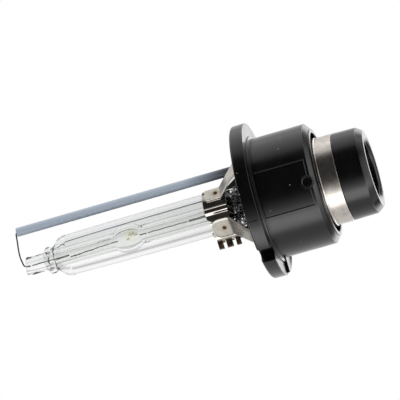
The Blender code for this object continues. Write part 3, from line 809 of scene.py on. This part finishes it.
def make_outer_bulb():
    """The outer tube: drawn in and fused to the burner at the tip, necked and cut off at the base."""
    bore = LEG_RADIUS + 0.02
    middle_radius = 4.5
    outer = [
        (BULB_REAR, 3.4), (BULB_REAR, 4.1), (-0.2, 4.2), (-0.75, 4.38), (-1.1, 4.45), (-1.45, 4.35),
        (-1.9, 3.96), (-2.2, 4.22), (-2.6, 4.36), (-3.0, 4.3), (-3.3, NECK_RADIUS), (-4.4, NECK_RADIUS),
        (-4.9, 4.22), (-5.8, TUBE_REAR_RADIUS), (-12.0, TUBE_REAR_RADIUS), (-30.0, middle_radius),
        (-39.6, TUBE_FRONT_RADIUS), (-40.8, 4.27), (-41.7, 4.0), (-42.4, 3.5), (-42.9, 2.95), (-43.25, 2.62),
        (-43.55, 2.58), (-43.9, 2.78), (-44.35, 2.9), (-44.85, 2.82), (-45.25, 2.5), (BULB_TIP, 2.15),
    ]
    inner = [
        (BULB_TIP, bore), (-43.1, bore), (-42.5, 2.03), (-41.9, 2.2), (-41.2, 2.5), (-40.3, 2.78),
        (-39.2, TUBE_FRONT_RADIUS - GLASS_WALL), (-30.0, middle_radius - GLASS_WALL),
        (-6.2, TUBE_REAR_RADIUS - GLASS_WALL), (-4.9, 3.1), (-3.6, 3.0), (-0.8, 3.1),
    ]
    outline = [point[:2] for wall in (outer, inner) for point in smooth_path([(*p, 0.0) for p in wall], 3)]
    mesh = lathe_mesh("outer_bulb_fine", outline, GLASS_STEPS)
    # The hand-worked ring at the tip and the cut edge at the base are slightly out of round.
    for vertex in mesh.vertices:
        x, y, z = place = [v / MM for v in vertex.co]
        swell = 0.10 * unit(-42.4 - x) * waver(place, 0.9, 0.55)
        swell += 0.12 * unit((x + 3.2) / 0.4) * waver(place, 0.8, 0.9)
        radius = math.hypot(y, z)
        if radius > bore + 0.1:
            scale = 1.0 + swell / radius
            vertex.co = Vector((x, y * scale, z * scale)) * MM
    piece("outer_bulb_fine", mesh, OUTER_QUARTZ, ["outer_bulb"], 60.0)


def make_arc_tube():
    """The burner: a thick-walled egg between two legs that are pressed round the foils."""
    ball_radius = span("arc_tube", Z)[1]
    meet_out = math.degrees(math.asin(LEG_RADIUS / ball_radius))
    meet_in = math.degrees(math.asin(LEG_BORE / CHAMBER_RADIUS))
    outline = [
        (BURNER_REAR, LEG_BORE), (BURNER_REAR, LEG_RADIUS), (-22.2, LEG_RADIUS), (-22.8, LEG_RADIUS + 0.03),
        *oval(ARC_CENTRE, ARC_LENGTH, ball_radius, meet_out, 180.0 - meet_out),
        (-31.4, LEG_RADIUS + 0.03), (-32.0, LEG_RADIUS), (-45.8, LEG_RADIUS), (-47.2, LEG_RADIUS - 0.06),
        (-48.6, LEG_RADIUS - 0.02), (STUB_TIP + 0.3, LEG_RADIUS - 0.04), (STUB_TIP, LEG_RADIUS - 0.3),
        (STUB_TIP, LEG_BORE),
        *oval(ARC_CENTRE, CHAMBER_LENGTH, CHAMBER_RADIUS, 180.0 - meet_in, meet_in),
    ]
    mesh = lathe_mesh("arc_tube_fine", outline, GLASS_STEPS)
    # The front stub is a hand-cut rod end: it leans and its end isn't square.
    for vertex in mesh.vertices:
        x, y, z = place = [v / MM for v in vertex.co]
        end = unit((-46.0 - x) / 4.0)
        swell = 0.30 * end * waver(place, 0.55, 0.6)
        radius = math.hypot(y, z)
        if radius > LEG_BORE + 0.1:
            y *= 1.0 + swell / radius
            z *= 1.0 + swell / radius
        vertex.co = Vector((x + end * (0.16 * z + 0.3) * (x < -49.0), y, z)) * MM
    piece("arc_tube_fine", mesh, BURNER_QUARTZ, ["arc_tube"], 60.0)


def make_foil(end):
    """A molybdenum foil: lens-shaped in section, with feathered edges and slight ripples."""
    low, high = span(f"foil_{end}", X)
    along, sides = 40, 20
    half_width, half_thickness = 0.72, 0.10
    lean = -0.05 if end == "front" else 0.0
    turns = [2.0 * math.pi * k / sides for k in range(sides)]
    section = [(half_thickness * math.sin(turn), half_width * math.cos(turn)) for turn in turns]
    shape = bmesh.new()
    rings = []
    for i in range(along + 1):
        x = low + (high - low) * i / along
        ripple = 0.03 * math.sin(x * 2.1) + 0.02 * math.sin(x * 5.3) + lean * (x - high)
        rings.append(add_ring(shape, [(x, y + ripple, z) for y, z in section]))
    bridge(shape, rings)
    shape.faces.new(rings[0])
    shape.faces.new(list(reversed(rings[-1])))
    mesh = to_mesh(f"foil_{end}_fine", shape)
    mesh.transform(around(FOIL_ANGLE))
    piece(f"foil_{end}_fine", mesh, FOIL_METAL, [f"foil_{end}"])


def make_burner_metal():
    """The electrodes, the foils, and the leads that go on from them."""
    for end in ("front", "rear"):
        low, high = span(f"electrode_{end}", X)
        points = [(x, 0.0, 0.0) for x in (low + 0.08, (low + high) / 2.0, high - 0.08)]
        mesh = wire_mesh(f"electrode_{end}_fine", points, 0.14)
        piece(f"electrode_{end}_fine", mesh, TUNGSTEN, [f"electrode_{end}"])
        make_foil(end)
    low, high = span("lead_wire_front", X)
    points = [(low + 0.1, 0.0, 0.0), (low + 2.5, 0.02, 0.06)]
    points += [(high - 2.5, 0.0, -0.08), (high - 0.1, 0.0, -0.02)]
    mesh = wire_mesh("lead_wire_front_fine", smooth_path(points), 0.12)
    piece("lead_wire_front_fine", mesh, TUNGSTEN, ["lead_wire_front"])
    points = [(high - 1.9, 0.0, -0.08), (high - 1.0, 0.0, -0.04), (high - 0.15, 0.0, -0.02)]
    mesh = wire_mesh("lead_wire_weld", smooth_path(points), 0.19)
    piece("lead_wire_weld", mesh, TUNGSTEN)
    low, high = span("lead_wire_rear", X)
    points = [(x, 0.0, 0.0) for x in (low + 0.1, 0.0, high - 0.2)]
    mesh = wire_mesh("lead_wire_rear_fine", points, 0.25)
    piece("lead_wire_rear_fine", mesh, MOLYBDENUM, ["lead_wire_rear"])


def make_salts():
    """Frozen beads of metal salts on the lower wall of the discharge chamber."""
    # Place along the chamber, angle round it and size
    beads = [(0.9, 20.0, 0.36), (1.7, 12.0, 0.28), (0.1, -8.0, 0.22)]
    for index, (along, angle, size) in enumerate(beads):
        shape = bmesh.new()
        bmesh.ops.create_icosphere(shape, subdivisions=3, radius=1.0)
        for vertex in shape.verts:
            vertex.co *= 1.0 + 0.18 * noise.noise(vertex.co * 1.7 + Vector((index * 3.1, 0.0, 0.0)))
        mesh = to_mesh(f"salt_bead_{index + 1}", shape)
        wall = CHAMBER_RADIUS * math.sqrt(1.0 - (2.0 * along / CHAMBER_LENGTH) ** 2)
        place = Vector((ARC_CENTRE + along, 0.30 * size - wall, 0.0)) * MM
        scale = Matrix.Diagonal((size * 1.5 * MM, size * 0.35 * MM, size * MM, 1.0))
        mesh.transform(around(angle) @ Matrix.Translation(place) @ scale)
        piece(f"salt_bead_{index + 1}", mesh, SALT)


# ---------------------------------------------------------------- return line


def make_return_line():
    """The ceramic tube, and the wire that comes round from the stub and runs through it."""
    outline = rounded([
        (TUBE_REAR, TUBE_BORE, 0.05),
        (TUBE_REAR, TUBE_RADIUS, 0.08),
        (TUBE_FRONT, TUBE_RADIUS, 0.05),
        (TUBE_FRONT, TUBE_BORE, 0.05),
    ])
    mesh = lathe_mesh("ceramic_tube_fine", outline, SMALL_STEPS, TUBE_OFFSET)
    piece("ceramic_tube_fine", mesh, CERAMIC, ["ceramic_tube"])
    route = [
        (-48.9, 0.0), (-49.5, 0.02), (-49.96, 0.1), (-50.34, 0.42), (-50.5, 0.95), (-50.7, 2.3),
        (-50.66, 3.9), (-50.46, 5.6), (-50.34, 6.8), (-50.26, 7.3), (-50.0, TUBE_OFFSET - 0.06),
        (-49.5, TUBE_OFFSET), (-46.0, TUBE_OFFSET), (-20.0, TUBE_OFFSET), (6.4, TUBE_OFFSET),
    ]
    mesh = wire_mesh("return_wire_fine", smooth_path([(x, 0.0, z) for x, z in route]), 0.16)
    piece("return_wire_fine", mesh, MOLYBDENUM, ["return_wire"])


# ---------------------------------------------------------------- clamp and legs

# The band's outer radius at angles along its near side. Elsewhere it is round.
BAND_FORM = (
    (-50.0, 4.95), (-36.0, 4.98), (-26.0, 5.10), (-7.0, 4.72), (1.5, 5.06), (8.5, 4.96), (10.5, 5.06),
    (13.0, 4.99), (30.0, 4.95),
)


def band_radius(angle):
    """The band's outer radius: pressed in and beaded along the near side, and again on the far side."""
    for centre in (0.0, 180.0):
        off = (angle - centre + 180.0) % 360.0 - 180.0
        for (low, low_radius), (high, high_radius) in zip(BAND_FORM, BAND_FORM[1:]):
            if low <= off <= high:
                part = (off - low) / (high - low)
                part = part * part * (3.0 - 2.0 * part)
                return low_radius + (high_radius - low_radius) * part
    return BAND_RADIUS


def band_start(angle):
    """The band's front edge, cut back below the pressed part of the near side."""
    off = (angle + 180.0) % 360.0 - 180.0
    return BAND_START + 0.9 * unit((-13.0 - off) / 10.0) * unit((60.0 + off) / 10.0)


def make_clamp_band():
    """The band round the glass, in short steps so that its pressed form is smooth, and its four ears."""
    steps = 720
    ease = 0.06
    shape = bmesh.new()
    rings = []
    for i in range(steps):
        angle = 360.0 * i / steps
        turn = math.radians(angle)
        outer = band_radius(angle)
        inner = outer - BAND_WALL
        front = band_start(angle)
        profile = [
            (BAND_END, outer - ease), (BAND_END - ease, outer), (front + ease, outer), (front, outer - ease),
            (front, inner), (BAND_END, inner),
        ]
        rings.append(add_ring(shape, [(x, -r * math.cos(turn), r * math.sin(turn)) for x, r in profile]))
    bridge(shape, rings, closed=True)
    mesh = to_mesh("clamp_band_fine", shape)
    piece("clamp_band_fine", mesh, BAND_METAL, ["clamp_band"])
    for number, angle in enumerate(LEG_ANGLES, 1):
        if angle > 0.0:
            make_ear(number, angle)
        else:
            make_comb(number, angle)


def sheet_mesh(name, rows, thickness, angle, ease=0.05, holes=()):
    """A sheet-metal mesh from rows of points, turned round the axis. The cells in holes are left out."""
    shape = bmesh.new()
    grid = [add_ring(shape, row) for row in rows]
    for i, (first, second) in enumerate(zip(grid, grid[1:])):
        for k in range(len(first) - 1):
            if (i, k) not in holes:
                shape.faces.new((first[k], first[k + 1], second[k + 1], second[k]))
    bmesh.ops.delete(shape, geom=[v for v in shape.verts if not v.link_faces], context="VERTS")
    obj = cutter(name, to_mesh(name, shape))
    sheet = obj.modifiers.new("Sheet", "SOLIDIFY")
    sheet.thickness = thickness * MM
    sheet.offset = 0.0
    sheet.use_even_offset = True
    ease_edges(obj, ease, 50.0)
    mesh = applied(obj)
    mesh.transform(around(angle))
    return mesh


def make_ear(number, angle):
    """An upper ear: a small flat pad behind the leg."""
    rows = [[(x, -EAR_OFFSET, z) for z in (-1.3, 0.0, 1.3)] for x in (-8.6, -7.0, -5.6)]
    mesh = sheet_mesh(f"band_ear_{number}", rows, EAR_THICKNESS, angle)
    piece(f"band_ear_{number}", mesh, EAR_METAL)


def make_comb(number, angle):
    """A lower ear: flat behind the leg, folded over at its edge and cut into three teeth."""
    side = math.copysign(1.0, -90.0 - angle)
    # The sheet's section, as places across it and how far each is lifted. The far ear's teeth are short.
    across = [(-1.3, 0.0), (0.0, 0.0), (2.4, 0.0), (2.75, 0.03), (3.05, 0.12), (3.3, 0.26)]
    teeth = [(3.6, 0.46), (4.1, 0.74), (4.6, 1.0), (4.95, 1.14)]
    if angle < -90.0:
        teeth = [(3.5, 0.30), (3.7, 0.34)]
    gaps = ((-7.95, -7.3), (-5.95, -5.25))
    stations = [-9.1, -9.0, -8.5, -8.05, *gaps[0], -7.2, -6.6, -6.05, *gaps[1], -5.15, -4.7, -4.3, -4.2]
    rows = [[(x, -EAR_OFFSET - lift, side * z) for z, lift in across + teeth] for x in stations]
    holes = []
    for i, (front, rear) in enumerate(zip(stations, stations[1:])):
        if any(low < (front + rear) / 2.0 < high for low, high in gaps):
            holes += [(i, k) for k in range(len(across) - 1, len(across) + len(teeth) - 1)]
    mesh = sheet_mesh(f"band_ear_{number}", rows, 0.2, angle, 0.04, holes)
    piece(f"band_ear_{number}", mesh, EAR_METAL, sharp_angle=40.0)


def strap_path(stations, count=4):
    """Stations of (x, offset, half width), with the folds rounded off."""
    places = [Vector(station) for station in stations]
    path = [places[0]]
    for before, corner, after in zip(places, places[1:], places[2:]):
        path += fold(corner.lerp(before, 0.3), corner, corner.lerp(after, 0.3), count)
    return [*path, places[-1]]


def make_leg(number, angle):
    """A bent nickel strap, from its spot weld on the band's ear to its root in the base."""
    pad, root = PAD_OFFSET, LEG_ROOT_OFFSET
    narrow = [
        (-8.8, pad, 1.2), (-8.7, pad, 1.42), (-8.5, pad, 1.5), (-5.6, pad, 1.5), (-5.35, pad + 0.1, 1.5),
        (-2.6, 9.0, 1.45), (-0.7, root - 0.3, 1.9), (0.0, root, 1.95), (LEG_ROOT_END, root, 1.95),
    ]
    broad = [
        (-8.8, pad, 1.3), (-8.6, pad, 1.7), (-8.1, pad, 2.2), (-7.4, pad, 2.4), (-5.4, pad, 2.4),
        (-4.8, pad + 0.2, 2.15), (-2.7, 8.7, 1.75), (-0.9, root - 0.25, 1.6), (-0.1, root, 1.6),
        (LEG_ROOT_END, root, 1.6),
    ]
    across = 8
    rows = []
    for x, out, half in strap_path(broad if angle < 0.0 else narrow):
        rows.append([(x, -out, half * (2.0 * k / across - 1.0)) for k in range(across + 1)])
    mesh = sheet_mesh(f"support_leg_{number}_fine", rows, LEG_THICKNESS, angle, 0.06)
    weld = around(angle) @ Vector((-6.45, -pad - LEG_THICKNESS / 2.0, 0.0))
    # The lower legs are painted darker than the upper ones, a painted shade.
    metal = strap_metal(f"strap_metal_{number}", weld, 0.62 if angle < 0.0 else 0.95)
    piece(f"support_leg_{number}_fine", mesh, metal, [f"support_leg_{number}"])


# ---------------------------------------------------------------- studio

CAMERA_DISTANCE = 0.70
FRAME_WIDTH = 83.1
AXIS_TURN = math.radians(9.5)
AXIS_ROLL = math.radians(5.0)
IMAGE_TILT = math.radians(15.97)
TARGET_X = -10.55
TARGET_ABOVE_AXIS = 3.56


def make_camera():
    """A long lens, level with the bulb, that sees the socket end turned a little towards it."""
    back = Vector((
        math.sin(AXIS_TURN),
        -math.cos(AXIS_TURN) * math.cos(AXIS_ROLL),
        -math.cos(AXIS_TURN) * math.sin(AXIS_ROLL),
    ))
    along = (Vector((1.0, 0.0, 0.0)) - back * back.x).normalized()
    across = back.cross(along)
    right = along * math.cos(IMAGE_TILT) - across * math.sin(IMAGE_TILT)
    up = back.cross(right)
    target = (Vector((TARGET_X, 0.0, 0.0)) + across * TARGET_ABOVE_AXIS) * MM
    data = bpy.data.cameras.new("camera")
    data.sensor_width = 36.0
    data.lens = 36.0 * CAMERA_DISTANCE / (FRAME_WIDTH * MM)
    camera = bpy.data.objects.new("camera", data)
    bpy.context.scene.collection.objects.link(camera)
    camera.matrix_world = Matrix((
        (right.x, up.x, back.x, 0.0),
        (right.y, up.y, back.y, 0.0),
        (right.z, up.z, back.z, 0.0),
        (0.0, 0.0, 0.0, 1.0),
    ))
    camera.location = target + back * CAMERA_DISTANCE
    bpy.context.scene.camera = camera


# How bright the studio is at each angle round the bulb's axis: 0 faces the camera, 90 is up and 180 is behind
SKY = (
    (-180.0, 1.5), (-165.0, 1.0), (-100.0, 0.75), (-78.0, 0.9), (-66.0, 3.2), (-50.0, 3.6), (-38.0, 1.4),
    (-25.0, 0.55), (-12.0, 0.12), (0.0, 0.05), (60.0, 0.03), (72.0, 0.08), (84.0, 0.5), (100.0, 0.8),
    (150.0, 0.9), (170.0, 1.1), (180.0, 1.5),
)
SKY_PEAK = 4.0

# How bright it is past the bulb's two ends, and in two steps behind the bulb on the way to its right end
RIGHT_END = 1.8
LEFT_END = 0.05
RIGHT_BEHIND = (((0.05, 0.20), 2.2), ((0.34, 0.48), 0.25))

# How bright it looks through the glass, by how far a ray has been bent up or down
THROUGH_GLASS = ((-1.0, 0.4), (-0.8, 0.6), (-0.55, 1.0), (0.0, 1.0), (0.16, 0.90), (0.5, 0.77), (1.0, 0.62))


def make_overhead_light(radiance=0.4):
    """A soft rectangular light above the bulb, which it faces. Its sizes are in metres."""
    data = bpy.data.lights.new("overhead", "AREA")
    data.shape = "RECTANGLE"
    data.size, data.size_y = 1.6, 1.0
    data.energy = radiance * math.pi * data.size * data.size_y
    light = bpy.data.objects.new("overhead", data)
    bpy.context.scene.collection.objects.link(light)
    light.location = (0.0, 0.15, 0.9)
    light.rotation_mode = "QUATERNION"
    light.rotation_quaternion = (-light.location).to_track_quat("-Z", "Y")


def grey(level):
    """A grey of the given brightness, as the background's colour."""
    return (level / SKY_PEAK,) * 3


def make_world():
    """White softboxes round the bulb, with a dark strip in front. The camera itself sees plain white."""
    world = bpy.data.worlds.new("studio")
    bpy.context.scene.world = world
    world.use_nodes = True
    nodes = Nodes(world.node_tree)
    direction = nodes.node("ShaderNodeTexCoord").outputs["Generated"]
    parts = nodes.node("ShaderNodeSeparateXYZ", {"Vector": direction}).outputs
    turn = nodes.maths("ARCTAN2", parts["Z"], nodes.maths("MULTIPLY", parts["Y"], -1.0))
    turn = nodes.maths("ADD", nodes.maths("MULTIPLY", turn, 0.5 / math.pi), 0.5)
    sky = nodes.ramp(turn, [((angle + 180.0) / 360.0, level / SKY_PEAK) for angle, level in SKY])
    sky = nodes.mix(nodes.span(parts["X"], 0.0, 1.0, 0.80, 0.97), sky, grey(RIGHT_END))
    away = nodes.maths("MULTIPLY", parts["X"], -1.0)
    sky = nodes.mix(nodes.span(away, 0.0, 1.0, 0.75, 0.92), sky, grey(LEFT_END))
    behind = nodes.span(parts["Y"], 0.0, 1.0, 0.2, 0.5)
    for (low, high), level in RIGHT_BEHIND:
        part = nodes.maths("MULTIPLY", nodes.span(parts["X"], 0.0, 1.0, low, high), behind)
        sky = nodes.mix(part, sky, grey(level))
    rays = nodes.node("ShaderNodeLightPath").outputs
    sky = nodes.mix(rays["Is Diffuse Ray"], sky, grey(1.0))
    lift = nodes.maths("ADD", parts["Z"], nodes.maths("MULTIPLY", parts["Y"], -math.sin(AXIS_ROLL)))
    lift = nodes.maths("ADD", nodes.maths("MULTIPLY", lift, 0.5), 0.5)
    through = nodes.ramp(lift, [((height + 1.0) / 2.0, level / SKY_PEAK) for height, level in THROUGH_GLASS])
    sky = nodes.mix(rays["Is Transmission Ray"], sky, through)
    sky = nodes.mix(rays["Is Camera Ray"], sky, grey(1.0))
    background = world.node_tree.nodes["Background"]
    world.node_tree.links.new(sky, background.inputs["Color"])
    background.inputs["Strength"].default_value = SKY_PEAK


def make_floor():
    """A plain pale floor under the held bulb, in metres. It doesn't show in the bulb's glass and metal."""
    mesh = bpy.data.meshes.new("floor")
    left, right, front, back, height = -1.6, 1.6, -0.8, 2.4, -0.13
    corners = [(left, front, height), (right, front, height), (right, back, height), (left, back, height)]
    mesh.from_pydata(corners, [], [(0, 1, 2, 3)])
    floor = bpy.data.objects.new("floor", mesh)
    bpy.context.scene.collection.objects.link(floor)
    paint = Finish("floor_paint", (0.88, 0.88, 0.87), 0.8)
    paint.set(**{"Emission Color": (1.0, 1.0, 1.0, 1.0), "Emission Strength": 0.25})
    mesh.materials.append(paint.material)
    floor.visible_glossy = False
    floor.visible_diffuse = False
    floor.visible_transmission = False


make_camera()
make_world()
make_floor()
make_overhead_light()
bpy.context.scene.view_settings.view_transform = "Standard"

make_base()
make_contact_ring()
make_collar()
make_pin()
make_outer_bulb()
make_arc_tube()
make_burner_metal()
make_salts()
make_return_line()
make_clamp_band()
for leg_number, leg_angle in enumerate(LEG_ANGLES, 1):
    make_leg(leg_number, leg_angle)

strap = strap_metal("inner_strap")
for node_name, material in (("potting_cement", CEMENT), ("lead_insulator", CERAMIC), ("return_strap", strap)):
    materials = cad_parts[node_name].data.materials
    materials.clear()
    materials.append(material)
